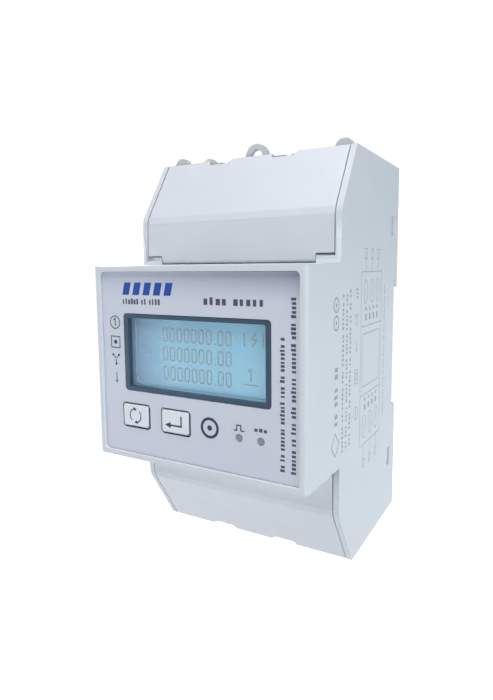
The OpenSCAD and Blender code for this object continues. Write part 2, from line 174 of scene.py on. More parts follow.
LABEL_TINTS = ((0.735, 0.75, 0.825), (0.765, 0.78, 0.85))
# Colour of the painted shadow under the label's top lip
LABEL_LIP_SHADOW = (0.36, 0.38, 0.48)
# Cell colours: a painted lit foot, a painted shaded top, a random cloud, and painted shade beside the
# left edge
CELL_FOOT_LIT = (0.28, 0.58, 0.69)
CELL_TOP_SHADED = (0.18, 0.48, 0.62)
CELL_CLOUD = (0.42, 0.68, 0.78)
CELL_LEFT_SHADE = (0.10, 0.23, 0.42)
# Strength of the cell's painted glow at its foot and at its top
CELL_PAINTED_GLOW = (0.25, 0.19)
PAD_PITCH = 2.54
PAD_TIN = (0.62, 0.6, 0.52)


def moulded(name, colour, roughness, grain=0.22, depth=0.004, drift=0.03, **sockets):
    """Injection-moulded plastic: a spark-eroded grain, faint flow waves and uneven gloss"""
    material = principled(name, **sockets)
    flow = noise(material, 9, 3)
    speck = noise(material, grain * 3, 4)
    shade = blend_colours(material, spread(material, flow, 0, 1), scaled(colour, 1 - drift), colour)
    shade = blend_colours(material, spread(material, speck, 0, 0.35), shade, scaled(colour, 1.04))
    plug(material, shade, "Base Color")
    plug(material, spread(material, noise(material, 2.5, 3), roughness - 0.06, roughness + 0.06),
         "Roughness")
    bumps(material, [(noise(material, 14, 1), 0.02), (noise(material, grain, 3), depth)])
    return material


def label_film():
    """Printed polyester film: a pale tint, a fine matt coating and a slight orange peel.

    It has a painted shadow along its top edge, under the lip of its recess, strongest at the right, as
    the photo shows.
    """
    material = principled("label_film", Coat_Weight=0.12, Coat_Roughness=0.35)
    low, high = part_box("faceplate")
    place = add(material, "SeparateXYZ", {"Vector": placed(material)})
    # Painted shadow under the top lip of the recess, strongest at the right
    lip_shadow_share = ramp(material, place.outputs["Z"], (high.z - 7 * MM, high.z + 1 * MM), (0.0, 1.0),
               interpolation_type="SMOOTHSTEP")
    right = ramp(material, place.outputs["X"], (low.x + 8 * MM, high.x), (0.3, 1.0))
    shade = add(material, "Math", {0: lip_shadow_share, 1: right}, operation="MULTIPLY").outputs[0]
    tint = blend_colours(material, spread(material, noise(material, 12, 3), 0, 1), *LABEL_TINTS)
    plug(material, blend_colours(material, shade, tint, LABEL_LIP_SHADOW), "Base Color")
    plug(material, spread(material, noise(material, 1.5, 3), 0.42, 0.54), "Roughness")
    bumps(material, [(noise(material, 3, 2), 0.006), (noise(material, 0.15, 2), 0.0015)])
    return material


def metal(name, colour, roughness, along=(1, 1, 1), line=0.12, tarnish=0.15):
    """Plated or bare metal: drawn scratches along one axis and patches of dulling"""
    material = principled(name, Metallic=1.0)
    scratch = noise(material, line, 3, along)
    patch = noise(material, 1.6, 4)
    shade = blend_colours(material, spread(material, patch, 0, tarnish * 3), colour,
                          scaled(colour, 0.6))
    plug(material, shade, "Base Color")
    plug(material, spread(material, scratch, roughness - 0.08, roughness + 0.12), "Roughness")
    bumps(material, [(scratch, 0.004), (noise(material, 0.8, 2), 0.006)])
    return material


def mark_finish(name, colour, roughness=0.55):
    """Screen print ink: slightly uneven cover with tiny pinholes, also the finish of the painted
    highlights, glint and shadows drawn as marks
    """
    material = principled(name)
    cover = noise(material, 0.25, 3)
    shade = blend_colours(material, spread(material, cover, 0, 1), colour, scaled(colour, 1.35))
    plug(material, shade, "Base Color")
    plug(material, spread(material, noise(material, 0.6, 2), roughness - 0.08, roughness + 0.08),
         "Roughness")
    bumps(material, [(cover, 0.002)])
    return material


def display_glass():
    """The liquid-crystal cell: pale blue, with painted shade beside the left edge and towards its top,
    and a painted glow that is strongest towards its foot
    """
    material = principled("display_cell", Coat_Weight=0.1, Coat_Roughness=0.12,
                          Specular_IOR_Level=0.25, Emission_Color=(0.34, 0.76, 0.97, 1))
    low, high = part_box("lcd_panel")
    place = add(material, "SeparateXYZ", {"Vector": placed(material)})
    # Painted shade beside the left edge of the cell, where the frame's inner wall shades it
    left = ramp(material, place.outputs["X"], (low.x + 0.5 * MM, low.x + 13 * MM), (0.0, 1.0),
                interpolation_type="SMOOTHSTEP")
    height = ramp(material, place.outputs["Z"], (low.z, high.z), (0.0, 1.0))
    body = blend_colours(material, height, CELL_FOOT_LIT, CELL_TOP_SHADED)
    body = blend_colours(material, spread(material, noise(material, 7, 2), 0, 0.25), body, CELL_CLOUD)
    plug(material, blend_colours(material, left, CELL_LEFT_SHADE, body), "Base Color")
    # A painted glow, strongest at the foot and dimmed by the painted shade at the left
    glow_fall = ramp(material, height, (0.0, 1.0), CELL_PAINTED_GLOW)
    left_glow_dimming = ramp(material, left, (0.0, 1.0), (0.4, 1.0))
    plug(material, add(material, "Math", {0: glow_fall, 1: left_glow_dimming}, operation="MULTIPLY").outputs[0],
         "Emission Strength")
    plug(material, spread(material, noise(material, 3, 2), 0.22, 0.34), "Roughness")
    bumps(material, [(noise(material, 1.5, 2), 0.002)])
    return material


def clear_window():
    """A clear acrylic pane: nearly all see-through, with its own faint gloss and haze"""
    material = principled("clear_window", Base_Color=(0.75, 0.86, 0.95, 1), Specular_IOR_Level=0.8,
                          Alpha=0.14)
    plug(material, spread(material, noise(material, 4, 3), 0.05, 0.16), "Roughness")
    bumps(material, [(noise(material, 9, 2), 0.01)])
    return material


def circuit_board():
    """Green solder mask over copper tracks, with rows of pads"""
    material = principled("circuit_board", Coat_Weight=0.6, Coat_Roughness=0.2)
    tracks = add(material, "TexBrick", {
        "Vector": placed(material, (1, 1, 0.35)), "Scale": 1 / (PAD_PITCH * MM),
        "Mortar Size": 0.045, "Brick Width": 1.0, "Row Height": 0.3,
        "Color1": (0.02, 0.16, 0.07, 1), "Color2": (0.03, 0.2, 0.09, 1),
        "Mortar": (0.06, 0.33, 0.16, 1)})
    pads = add(material, "TexVoronoi", {"Vector": placed(material), "Scale": 1 / (PAD_PITCH * MM),
                                        "Randomness": 0.0})
    round_pad = ramp(material, pads.outputs["Distance"], (0.16, 0.2), (1.0, 0.0))
    plug(material, blend_colours(material, round_pad, tracks.outputs["Color"], PAD_TIN),
         "Base Color")
    plug(material, spread(material, noise(material, 1, 3), 0.3, 0.45), "Roughness")
    bumps(material, [(tracks.outputs["Color"], 0.01), (round_pad, 0.02)])
    return material


def wound_tape(name, colour, turn=0.5):
    """Tape or sleeve wound round a coil: ridges one above the other, with a soft gloss"""
    material = principled(name, Coat_Weight=0.3, Coat_Roughness=0.25)
    ridge = add(material, "TexWave", {"Vector": placed(material), "Scale": 1 / (turn * 6 * MM),
                                      "Distortion": 0.6, "Detail": 2.0}, bands_direction="Z")
    shade = blend_colours(material, ridge.outputs["Fac"], scaled(colour, 0.7), colour)
    plug(material, shade, "Base Color")
    plug(material, spread(material, noise(material, 0.8, 3), 0.35, 0.5), "Roughness")
    bumps(material, [(ridge.outputs["Fac"], 0.05), (noise(material, 0.3, 2), 0.01)])
    return material


WHITE = (0.80, 0.825, 0.845)
STEEL = (0.62, 0.63, 0.65)
BRASS = (0.80, 0.58, 0.24)
COPPER = (0.84, 0.42, 0.24)

FINISHES = {
    "housing_white": moulded("housing_white", WHITE, 0.46),
    "cover_white": moulded("cover_white", (0.82, 0.84, 0.87), 0.42, grain=0.18, depth=0.003),
    "base_white": moulded("base_white", (0.77, 0.79, 0.81), 0.5),
    "terminal_white": moulded("terminal_white", (0.73, 0.75, 0.76), 0.5, drift=0.06),
    "faceplate_lavender": label_film(),
    "frame_slate": moulded("frame_slate", (0.045, 0.085, 0.135), 0.38, grain=0.15, depth=0.002),
    "window_clear": clear_window(),
    "display_glass": display_glass(),
    "diffuser_white": moulded("diffuser_white", (0.86, 0.88, 0.9), 0.35, Subsurface_Weight=0.2,
                              Subsurface_Radius=(0.002, 0.002, 0.002)),
    "key_lavender": moulded("key_lavender", (0.93, 0.93, 0.955), 0.4, grain=0.15, depth=0.002),
    "switch_black": moulded("switch_black", (0.02, 0.02, 0.022), 0.5),
    "light_guide_grey": moulded("light_guide_grey", (0.30, 0.32, 0.36), 0.25, depth=0.001,
                                Coat_Weight=0.5),
    "lamp_red": moulded("lamp_red", (0.75, 0.24, 0.2), 0.25, Coat_Weight=0.4),
    "board_green": circuit_board(),
    "chip_black": moulded("chip_black", (0.018, 0.018, 0.02), 0.6, grain=0.1),
    "contact_brass": metal("contact_brass", BRASS, 0.3, along=(1, 1, 0.1)),
    "screw_steel": metal("screw_steel", STEEL, 0.3, along=(1, 0.15, 1)),
    "cage_steel": metal("cage_steel", scaled(STEEL, 0.9), 0.38, along=(0.1, 1, 1)),
    "spring_steel": metal("spring_steel", scaled(STEEL, 0.85), 0.25),
    "phase_copper": metal("phase_copper", COPPER, 0.32, along=(1, 1, 0.05), tarnish=0.25),
    "transformer_potting": moulded("transformer_potting", (0.02, 0.035, 0.10), 0.35,
                                   Coat_Weight=0.4),
    "winding_tape": wound_tape("winding_tape", (0.72, 0.42, 0.05)),
    "capacitor_sleeve": wound_tape("capacitor_sleeve", (0.03, 0.045, 0.08), turn=3),
    "disc_blue": moulded("disc_blue", (0.02, 0.07, 0.36), 0.3, grain=0.5, Coat_Weight=0.5),
    "isolator_white": moulded("isolator_white", (0.75, 0.75, 0.7), 0.5),
    "strip_green": moulded("strip_green", (0.16, 0.27, 0.235), 0.48),
    "strip_grey": moulded("strip_grey", (0.30, 0.32, 0.34), 0.48),
    "clip_grey": moulded("clip_grey", (0.50, 0.54, 0.58), 0.5),
}
# Dark ink for the print, also used for the painted shadows round the keys
DARK_INK_AND_SHADOW = mark_finish("dark_ink_and_shadow", (0.035, 0.045, 0.085))
BLUE_INK = mark_finish("blue_ink", (0.012, 0.07, 0.36))
LASER_GREY = mark_finish("laser_grey", (0.34, 0.38, 0.42))
SEGMENT = mark_finish("segment", (0.30, 0.37, 0.39), 0.4)
# Colour of a painted crescent of reflected light on the cell
GLINT_PALE = mark_finish("glint_pale", (0.55, 0.72, 0.82), 0.35)
# Colour of the painted highlights along the edge of the cell
CELL_EDGE_HIGHLIGHT = mark_finish("cell_edge_highlights", (0.34, 0.56, 0.74), 0.3)
TEXT_INK = mark_finish("text_ink", (0.075, 0.08, 0.125))

for node, cad in frame["nodes"].items():
    cad.data.materials.clear()
    cad.data.materials.append(FINISHES[RECORD_SLOTS[node]])


# ---------------------------------------------------------------- mesh helpers

MERGE_REACH = 0.002
FLAT_ANGLE = 0.5
SHARP_ANGLE = 35


def finish_mesh(name, mesh_data, material, body):
    """Turns a bmesh into a piece that rides on a body, shaded smooth up to SHARP_ANGLE"""
    mesh = bpy.data.meshes.new(name)
    mesh_data.to_mesh(mesh)
    mesh_data.free()
    mesh.shade_smooth()
    mesh.set_sharp_from_angle(angle=math.radians(SHARP_ANGLE))
    mesh.materials.append(material)
    piece = bpy.data.objects.new(name, mesh)
    bpy.context.scene.collection.objects.link(piece)
    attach(piece, body)
    return piece


def welded(node):
    """The CAD node's mesh with its points merged and its flat faces made whole again"""
    shape = bmesh.new()
    shape.from_mesh(frame["nodes"][node].data)
    bmesh.ops.remove_doubles(shape, verts=shape.verts, dist=MERGE_REACH * MM)
    bmesh.ops.dissolve_limit(shape, angle_limit=math.radians(FLAT_ANGLE), verts=shape.verts,
                             edges=shape.edges)
    return shape


def rounded_node(node, rounds):
    """A piece that stands for a CAD node, with chosen sharp outer edges rounded.

    rounds lists (width in millimetres, smallest bend in degrees, test), and the test says
    whether both ends of an edge, in millimetres, lie where edges of that width are.
    """
    shape = welded(node)
    for width, least_bend, test in rounds:
        edges = [edge for edge in shape.edges
                 if edge.is_manifold and edge.is_convex
                 and edge.calc_face_angle() > math.radians(least_bend)
                 and all(test(vert.co / MM) for vert in edge.verts)]
        bmesh.ops.bevel(shape, geom=edges, offset=width * MM, offset_type="OFFSET", segments=3,
                        profile=0.5, affect="EDGES", clamp_overlap=True, miter_outer="SHARP")
    piece = finish_mesh(node + "_shell", shape, FINISHES[RECORD_SLOTS[node]], NODE_BODY[node])
    piece.modifiers.new("even_shading", "WEIGHTED_NORMAL").keep_sharp = True
    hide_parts(node)


# ---------------------------------------------------------------- shells

HALF_W = 27.0
FRONT_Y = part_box("front_housing")[0].y / MM
LABEL_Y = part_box("faceplate")[0].y / MM
KEY_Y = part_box("scroll_key")[0].y / MM
CELL_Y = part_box("lcd_panel")[0].y / MM
RECESS_DEPTHS = (0.9, 1.2)
COVER_RIM_Z = 24.8
BLOCK_END_Z = 46
BLOCK_FRONT_Y = -31
SEAT_Y = 0.5


def near(value, target):
    return abs(value - target) < 0.03


def everywhere(_):
    return True


rounded_node("front_housing", [
    (0.45, 40, lambda p: near(abs(p.x), HALF_W) or near(p.y, FRONT_Y)),
    (0.2, 40, lambda p: RECESS_DEPTHS[0] < p.y - FRONT_Y < RECESS_DEPTHS[1]),
])
for end in ("upper", "lower"):
    rounded_node(end + "_cover", [(0.2, 10, lambda p: abs(p.z) > COVER_RIM_Z)])
    rounded_node(end + "_terminal_block", [
        (0.15, 40, lambda p: abs(p.z) > BLOCK_END_Z or p.y < BLOCK_FRONT_Y),
    ])
    for pole in range(1, 4):
        rounded_node(f"{end}_screw_{pole}", [(0.15, 50, everywhere)])
        rounded_node(f"{end}_cage_{pole}", [(0.25, 50, everywhere)])
for node in ("scroll_key", "enter_key"):
    rounded_node(node, [(0.22, 40, lambda p: near(p.y, KEY_Y))])
rounded_node("faceplate", [(0.06, 40, lambda p: near(p.y, LABEL_Y))])
rounded_node("lcd_frame", [(0.12, 40, lambda p: p.y < LABEL_Y + 0.5)])
rounded_node("rear_base", [(0.3, 50, lambda p: p.y > SEAT_Y)])
rounded_node("rail_clip", [(0.2, 50, everywhere)])


# ---------------------------------------------------------------- clip spring


def coil_spring(name, node, turns):
    """A wound compression spring in the space of its CAD node"""
    low, high = (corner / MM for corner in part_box(node))
    wire = 0.2
    radius = (high.x - low.x) / 2 - wire
    middle = (low + high) / 2
    per_turn = 24
    around = 8
    shape = bmesh.new()
    # The end turns lie closed on the next turn, as on a real compression spring
    closed_pitch = 2.04 * wire
    open_pitch = (high.z - low.z - 2 * wire - 2 * closed_pitch) / (turns - 2)
    rings = []
    for i in range(turns * per_turn + 1):
        angle = 2 * math.pi * i / per_turn
        wound = i / per_turn
        open_turns = min(max(wound - 1, 0), turns - 2)
        rise = low.z + wire + closed_pitch * (wound - open_turns) + open_pitch * open_turns
        outward = Vector((math.cos(angle), math.sin(angle), 0))
        centre = Vector((middle.x, middle.y, rise)) + outward * radius
        rings.append([shape.verts.new((centre + outward * wire * math.cos(a)
                                       + Vector((0, 0, wire * math.sin(a)))) * MM)
                      for a in (2 * math.pi * j / around for j in range(around))])
    for first, second in zip(rings, rings[1:]):
        for j in range(around):
            k = (j + 1) % around
            shape.faces.new((first[j], first[k], second[k], second[j]))
    shape.faces.new(rings[0])
    shape.faces.new(rings[-1])
    bmesh.ops.recalc_face_normals(shape, faces=shape.faces)
    coil = finish_mesh(name, shape, FINISHES[RECORD_SLOTS[node]], NODE_BODY[node])
    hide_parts(node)
    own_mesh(coil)


coil_spring("clip_spring_coil", "clip_spring", 11)


# ---------------------------------------------------------------- print, and painted light drawn as marks

MARK_SUNK = 0.01
MARK_PROUD = 0.015
draw = random.Random(7)


def on_front(surface_y):
    """Places a point by millimetres across, up and out on a face that looks towards -Y"""
    return lambda across, up, out: Vector((across, surface_y - out, up)) * MM


def on_right(surface_x):
    """Places a point by millimetres back, up and out on a face that looks towards +X"""
    return lambda back, up, out: Vector((surface_x + out, back, up)) * MM


def stroke(path, width, closed=False):
    """An even line as a row of quads, mitred at its corners"""
    points = [Vector(point) for point in path]
    count = len(points)
    sides = []
    for i, point in enumerate(points):
        steps = []
        if closed or i > 0:
            steps.append((point - points[i - 1]).normalized())
        if closed or i < count - 1:
            steps.append((points[(i + 1) % count] - point).normalized())
        mean = sum((step.orthogonal() for step in steps), Vector((0, 0))).normalized()
        reach = width / 2 / max(0.5, mean.dot(steps[0].orthogonal()))
        sides += [point + mean * reach, point - mean * reach]
    total = len(sides)
    faces = [(2 * i, 2 * i + 1, (2 * i + 3) % total, (2 * i + 2) % total)
             for i in range(count if closed else count - 1)]
    return sides, faces


def filled(outline):
    """A flat shape from its convex outline"""
    return list(outline), [tuple(range(len(outline)))]


def box_path(low_u, low_v, high_u, high_v):
    return [(low_u, low_v), (high_u, low_v), (high_u, high_v), (low_u, high_v)]


def round_box(middle_u, middle_v, width, height, radius):
    """A closed path round a box with rounded corners"""
    corners = ((1, 1, 0), (-1, 1, 90), (-1, -1, 180), (1, -1, 270))
    path = []
    for side_u, side_v, start in corners:
        centre_u = middle_u + side_u * (width / 2 - radius)
        centre_v = middle_v + side_v * (height / 2 - radius)
        path += arc(centre_u, centre_v, radius, start, start + 90, 5)
    return path


def arc(middle_u, middle_v, radius, start, end, count=17, tall=1.0):
    """Points along an arc from one angle to another, in degrees"""
    angles = [math.radians(start + (end - start) * i / (count - 1)) for i in range(count)]
    return [(middle_u + radius * math.cos(a), middle_v + tall * radius * math.sin(a))
            for a in angles]


def circle(middle_u, middle_v, radius, count=24, tall=1.0):
    return arc(middle_u, middle_v, radius, 0, 360 - 360 / count, count, tall)


def blocks(start, end, base, height, pitch, upright=False):
    """A line of print without letters: runs of solid blocks where words would be.

    An upright line climbs from start to end, with the tops of its blocks towards the left.
    """
    marks = []
    place = start
    run = draw.randint(2, 6)
    while place + pitch <= end:
        if run == 0:
            run = draw.randint(2, 7)
            place += pitch * 0.8
            continue
        run -= 1
        top = height * draw.choice((0.7, 0.7, 0.85))
        far = place + pitch * draw.choice((0.5, 0.62, 0.7))
        marks.append(filled(box_path(base - top, place, base, far) if upright
                            else box_path(place, base, far, base + top)))
        place += pitch
    return marks


def lay_marks(name, marks, place, material, body):
    """One layer of marks, of ink or of painted highlight, glint and shadow: each mark is a thin closed
    solid that stands just proud of the surface
    """
    shape = bmesh.new()
    for points, faces in marks:
        low = [shape.verts.new(place(point[0], point[1], -MARK_SUNK)) for point in points]
        high = [shape.verts.new(place(point[0], point[1], MARK_PROUD)) for point in points]
        edges = {(face[i - 1], face[i]) for face in faces for i in range(len(face))}
        for face in faces:
            shape.faces.new([high[i] for i in face])
            shape.faces.new([low[i] for i in reversed(face)])
        for start, end in sorted(edges):
            if (end, start) not in edges:
                shape.faces.new((low[start], low[end], high[end], high[start]))
    bmesh.ops.recalc_face_normals(shape, faces=shape.faces)
    finish_mesh(name, shape, material, body)


# Front label, in millimetres across and up
ICON_U = -21.55
FINE_LINE = 0.22
PULSE_LINE = 0.26
SCROLL_U = -15.9
ENTER_U = -4.7
KEY_V = -12.0
SCROLL_RING = 1.6
EMBLEM_BARS = 5
EMBLEM_PITCH = 2.95
EMBLEM_LOW = 15.8
EMBLEM_HIGH = 18.6


def star_symbol(middle_u, middle_v, reach):
    """Three lines from one point with a dot on each end"""
    marks = []
    for angle in (45, 135, 270):
        tip = (middle_u + reach * math.cos(math.radians(angle)),
               middle_v + reach * math.sin(math.radians(angle)))
        start = (middle_u + 0.14 * math.cos(math.radians(angle)),
                 middle_v + 0.14 * math.sin(math.radians(angle)))
        marks += [stroke([start, tip], FINE_LINE), filled(circle(*tip, 0.3, 12))]
    return marks


def ring_with_dot(middle_u, middle_v, radius, width):
    return [stroke(circle(middle_u, middle_v, radius), width, True),
            filled(circle(middle_u, middle_v, radius * 0.3, 16))]


def down_arrow(middle_u, top_v, low_v):
    half = 0.35
    neck_v = low_v + 0.8
    return [stroke([(middle_u, top_v), (middle_u, neck_v)], FINE_LINE),
            filled([(middle_u - half, neck_v), (middle_u, low_v), (middle_u + half, neck_v)])]


label_marks = [
    stroke(circle(ICON_U, 9.4, 1.45), FINE_LINE, True),
    stroke([(ICON_U - 0.45, 9.9), (ICON_U + 0.05, 10.3), (ICON_U + 0.05, 8.5)], PULSE_LINE),
    stroke(box_path(ICON_U - 1.3, 3.5, ICON_U + 1.3, 6.1), FINE_LINE, True),
    filled(circle(ICON_U, 4.8, 0.5, 16)),
    stroke([(10.3, -11.55), (11.0, -11.55), (11.0, -10.45), (11.95, -10.45), (11.95, -11.55),
            (12.8, -11.55)], PULSE_LINE),
]
label_marks += star_symbol(ICON_U, 0.9, 1.25)
label_marks += down_arrow(ICON_U, -2.4, -5.0)
label_marks += ring_with_dot(4.3, -12.05, 2.0, 0.62)
# Each line of print as its start, end, base, height and pitch
label_text = blocks(3.3, 19.2, 14.1, 1.9, 1.5)
label_text += blocks(-18.9, -7.4, 13.7, 1.5, 0.8)
label_text += blocks(15.1, 18.6, -11.2, 0.9, 1.1)
label_text += blocks(-18.5, 8.9, 21.9, 1.2, 0.78, True)
label_text += blocks(-18.6, 16.4, 24.3, 1.25, 0.84, True)
lay_marks("label_text", label_text, on_front(LABEL_Y), TEXT_INK, "case")
# Round each key hole a dark outline, partly print and partly painted shade of the gap, and a heavier
# stroke along its foot and right side that is painted shadow of the gap
for key_u in (SCROLL_U, ENTER_U):
    label_marks.append(stroke(round_box(key_u, KEY_V, 7.72, 5.52, 0.5), 0.2, True))
    label_marks.append(stroke([(key_u - 3.4, KEY_V - 2.86), (key_u + 3.5, KEY_V - 2.86),
                               (key_u + 3.96, KEY_V - 2.4), (key_u + 3.96, KEY_V + 2.3)], 0.24))
lay_marks("label_print_and_key_shadows", label_marks, on_front(LABEL_Y), DARK_INK_AND_SHADOW, "case")

emblem = []
for index in range(EMBLEM_BARS):
    left = -19.0 + EMBLEM_PITCH * index
    emblem.append(filled([(left, EMBLEM_LOW), (left + 1.9, EMBLEM_LOW),
                          (left + 2.6, EMBLEM_HIGH), (left + 0.7, EMBLEM_HIGH)]))
lay_marks("emblem_print", emblem, on_front(LABEL_Y), BLUE_INK, "case")

# Key symbols: two arrows that follow one another round a ring, and a bent arrow to the left
scroll_marks = []
for turn in (0, 180):
    scroll_marks.append(stroke(arc(SCROLL_U, KEY_V, SCROLL_RING, turn + 100, turn + 225), 0.26))
    scroll_marks.append(filled([
        (SCROLL_U + reach * SCROLL_RING * math.cos(math.radians(turn + angle)),
         KEY_V + reach * SCROLL_RING * math.sin(math.radians(turn + angle)))
        for reach, angle in ((1.0, 76), (1.3, 106), (0.7, 106))
    ]))
lay_marks("scroll_symbol", scroll_marks, on_front(KEY_Y), DARK_INK_AND_SHADOW, "scroll_key")
stem_v = KEY_V - 0.8
enter_marks = [
    stroke([(ENTER_U + 1.75, KEY_V + 1.5), (ENTER_U + 1.75, stem_v), (ENTER_U - 1.1, stem_v)], 0.38),
    filled([(ENTER_U - 2.7, stem_v), (ENTER_U - 1.1, stem_v - 0.7), (ENTER_U - 1.1, stem_v + 0.7)]),
]
lay_marks("enter_symbol", enter_marks, on_front(KEY_Y), DARK_INK_AND_SHADOW, "enter_key")

# Display
DIGIT_LEFT = -9.0
DIGIT_W = 1.15
DIGIT_H = 2.95
DIGIT_PITCH = 1.94
DIGITS = 9
DIGITS_BEFORE_POINT = 7
ROW_BASES = (5.55, 1.25, -3.1)
SEGMENT_LINE = 0.34
THIN_SEGMENT_LINE = 0.28


def zero(left, base):
    """The figure 0 as the cell draws it, with its corners cut"""
    right = left + DIGIT_W
    top = base + DIGIT_H
    cut = 0.35
    return stroke([(left + cut, base), (right - cut, base), (right, base + cut), (right, top - cut),
                   (right - cut, top), (left + cut, top), (left, top - cut), (left, base + cut)],
                  SEGMENT_LINE, True)


def colon(middle_u, base):
    return [filled(circle(middle_u, base + rise, 0.2, 10)) for rise in (0.8, 2.2)]


def display_row(base):
    """A row of zeros, with half a place for the point before the last two"""
    marks = []
    for index in range(DIGITS):
        gap = 0.5 if index >= DIGITS_BEFORE_POINT else 0
        marks.append(zero(DIGIT_LEFT + DIGIT_PITCH * (index + gap), base))
    point = DIGIT_LEFT + DIGIT_PITCH * DIGITS_BEFORE_POINT + 0.05
    marks.append(filled(box_path(point, base - 0.1, point + 0.35, base + 0.25)))
    return marks


def display_arrow(tail, tip, height):
    """A small arrow for energy that flows in or out"""
    back = math.copysign(0.9, tail - tip)
    return [stroke([(tail, height), (tip + back, height)], THIN_SEGMENT_LINE),
            filled([(tip, height), (tip + back, height - 0.7), (tip + back, height + 0.7)])]


segments = []
for base in ROW_BASES:
    segments += display_row(base)
    segments += colon(-10.6, base)
segments += display_arrow(-15.2, -12.2, ROW_BASES[1] + 1.5)
segments += display_arrow(-12.2, -15.2, ROW_BASES[2] + 1.5)
segments += [
    # A bolt for the unit of energy, between two bars
    stroke([(14.7, 8.7), (13.6, 7.2), (14.8, 7.2), (13.7, 5.6)], SEGMENT_LINE),
    stroke([(11.9, 8.5), (11.9, 5.7)], SEGMENT_LINE),
    stroke([(16.3, 8.5), (16.3, 5.7)], SEGMENT_LINE),
    # The number of the tariff, underlined
    stroke([(12.7, 0.5), (13.4, 1.1), (13.4, -1.6)], SEGMENT_LINE),
    stroke([(11.5, -2.2), (15.2, -2.2)], 0.26),
]
lay_marks("display_segments", segments, on_front(CELL_Y), SEGMENT, "case")
# A painted crescent of reflected light near the foot of the cell's left edge
crescent_glint = stroke(arc(-16.3, -3.9, 0.55, 110, 300, 11), THIN_SEGMENT_LINE)
lay_marks("display_crescent_glint", [crescent_glint], on_front(CELL_Y), GLINT_PALE, "case")
# Painted highlights where the edge of the cell catches the light, at the foot and at the left
cell_edge_highlights = [stroke([(-15.9, -4.85), (17.0, -4.85)], 0.3), stroke([(-15.9, -4.3), (17.0, -4.3)], 0.1),
             stroke([(-16.9, -2.8), (-16.9, 9.8)], 0.3)]
lay_marks("display_cell_edge_highlight", cell_edge_highlights, on_front(CELL_Y), CELL_EDGE_HIGHLIGHT, "case")

# Right side, in millimetres back and up: a wiring diagram as plain line art, with lines of blocks
SIDE_LINE = 0.2
SIGN_U = -33.2
WINDING_STRETCH = 1.9
DIAGRAM_LEFT = -30.0
DIAGRAM_RIGHT = -13.0
side_marks = ring_with_dot(-46.8, 13.7, 1.5, 0.4) + ring_with_dot(-46.8, 9.9, 1.5, 0.4)
side_marks.append(stroke([(-49.2, -16.6), (-46.9, -19.2), (-44.6, -16.6), (-46.9, -14.0)], 0.32, True))
side_marks += blocks(-12.4, 1.3, -45.6, 2.6, 1.55, True)
for base, low_v, high_v, tall in ((-42.0, -19.5, 16.0, 1.2), (-39.6, -19.2, 17.0, 1.1),
                                  (-37.2, -19.2, 17.7, 1.2), (-9.6, -19.0, 17.7, 0.8)):
    side_marks += blocks(low_v, high_v, base, tall, tall * 0.85, True)
side_marks += [
    stroke(circle(SIGN_U, -12.8, 1.5), SIDE_LINE, True),
    stroke([(SIGN_U, -13.6), (SIGN_U, -12.0)], SIDE_LINE),
    stroke(box_path(SIGN_U - 1.2, -5.6, SIGN_U + 1.2, -2.4), SIDE_LINE, True),
    stroke(box_path(SIGN_U - 0.6, -4.8, SIGN_U + 0.6, -3.2), SIDE_LINE, True),
    stroke([(SIGN_U, 2.2), (SIGN_U, 4.4)], SIDE_LINE),
    filled([(SIGN_U - 0.4, 2.6), (SIGN_U, 1.7), (SIGN_U + 0.4, 2.6)]),
]
side_marks += star_symbol(SIGN_U, 9.6, 1.3)
side_marks += blocks(14.4, 17.6, -32.4, 1.6, 0.9, True)
side_marks += [
    stroke(box_path(DIAGRAM_LEFT, -22.3, DIAGRAM_RIGHT, 20.4), SIDE_LINE, True),
    stroke([(DIAGRAM_LEFT + 0.1, 7.3), (DIAGRAM_RIGHT - 0.1, 7.3)], SIDE_LINE),
    stroke([(DIAGRAM_LEFT + 0.1, -9.7), (DIAGRAM_RIGHT - 0.1, -9.7)], SIDE_LINE),
    stroke(box_path(-28.6, -7.6, -14.4, 5.4), SIDE_LINE, True),
]
for middle_u in (-26.6, -21.5, -16.4):
    side_marks += [
        stroke(circle(middle_u, 15.6, 1.5, tall=WINDING_STRETCH), SIDE_LINE, True),
        stroke([(middle_u, 14.6), (middle_u, 16.6)], SIDE_LINE),
        stroke([(middle_u, 20.5), (middle_u, 23.4)], SIDE_LINE),
        stroke(box_path(middle_u - 0.9, 23.5, middle_u + 0.9, 25.9), SIDE_LINE, True),
        stroke(circle(middle_u, -17.8, 1.5, tall=WINDING_STRETCH), SIDE_LINE, True),
        stroke([(middle_u, -18.8), (middle_u, -16.8)], SIDE_LINE),
        stroke([(middle_u, -22.4), (middle_u, -26.0)], SIDE_LINE),
        stroke(box_path(middle_u - 0.7, -28.2, middle_u + 0.7, -26.1), SIDE_LINE, True),
    ]
for column in range(4):
    middle_u = -26.2 + 3.1 * column
    side_marks += [filled(box_path(middle_u - half, low_v, middle_u + half, high_v))
                   for half, low_v, high_v in ((0.6, 8.6, 10.2), (0.45, 11.0, 11.9),
                                               (0.6, -13.6, -12.2), (0.45, -11.4, -10.6))]
lay_marks("side_print", side_marks, on_right(HALF_W), LASER_GREY, "case")


# ---------------------------------------------------------------- camera and light

CAMERA_PLACE = Vector((65.8, -153.14, 22.04)) * MM
CAMERA_YAW = 30.05
CAMERA_PITCH = 6.216
CAMERA_ROLL = -0.556
SENSOR = 36.0
FOCAL_LENGTH = 27.477
SHIFT = (0.00545, -0.0368)
LIGHT_AIM = Vector((0, -0.03, 0))
FLOOR_DROP = 0.3
FLOOR_REACH = 10.0
# The floor's own light, and the distances over which it grows: behind the meter, and all round
FLOOR_GLOW = (0.1, 1.0)
SWEEP_BEHIND = (0.08, 0.26)
SWEEP_FAR = (0.6, 3.0)
# The backdrop's strength as a light, and as the camera sees it
WORLD_LIT = 0.04
WORLD_SEEN = 1.05


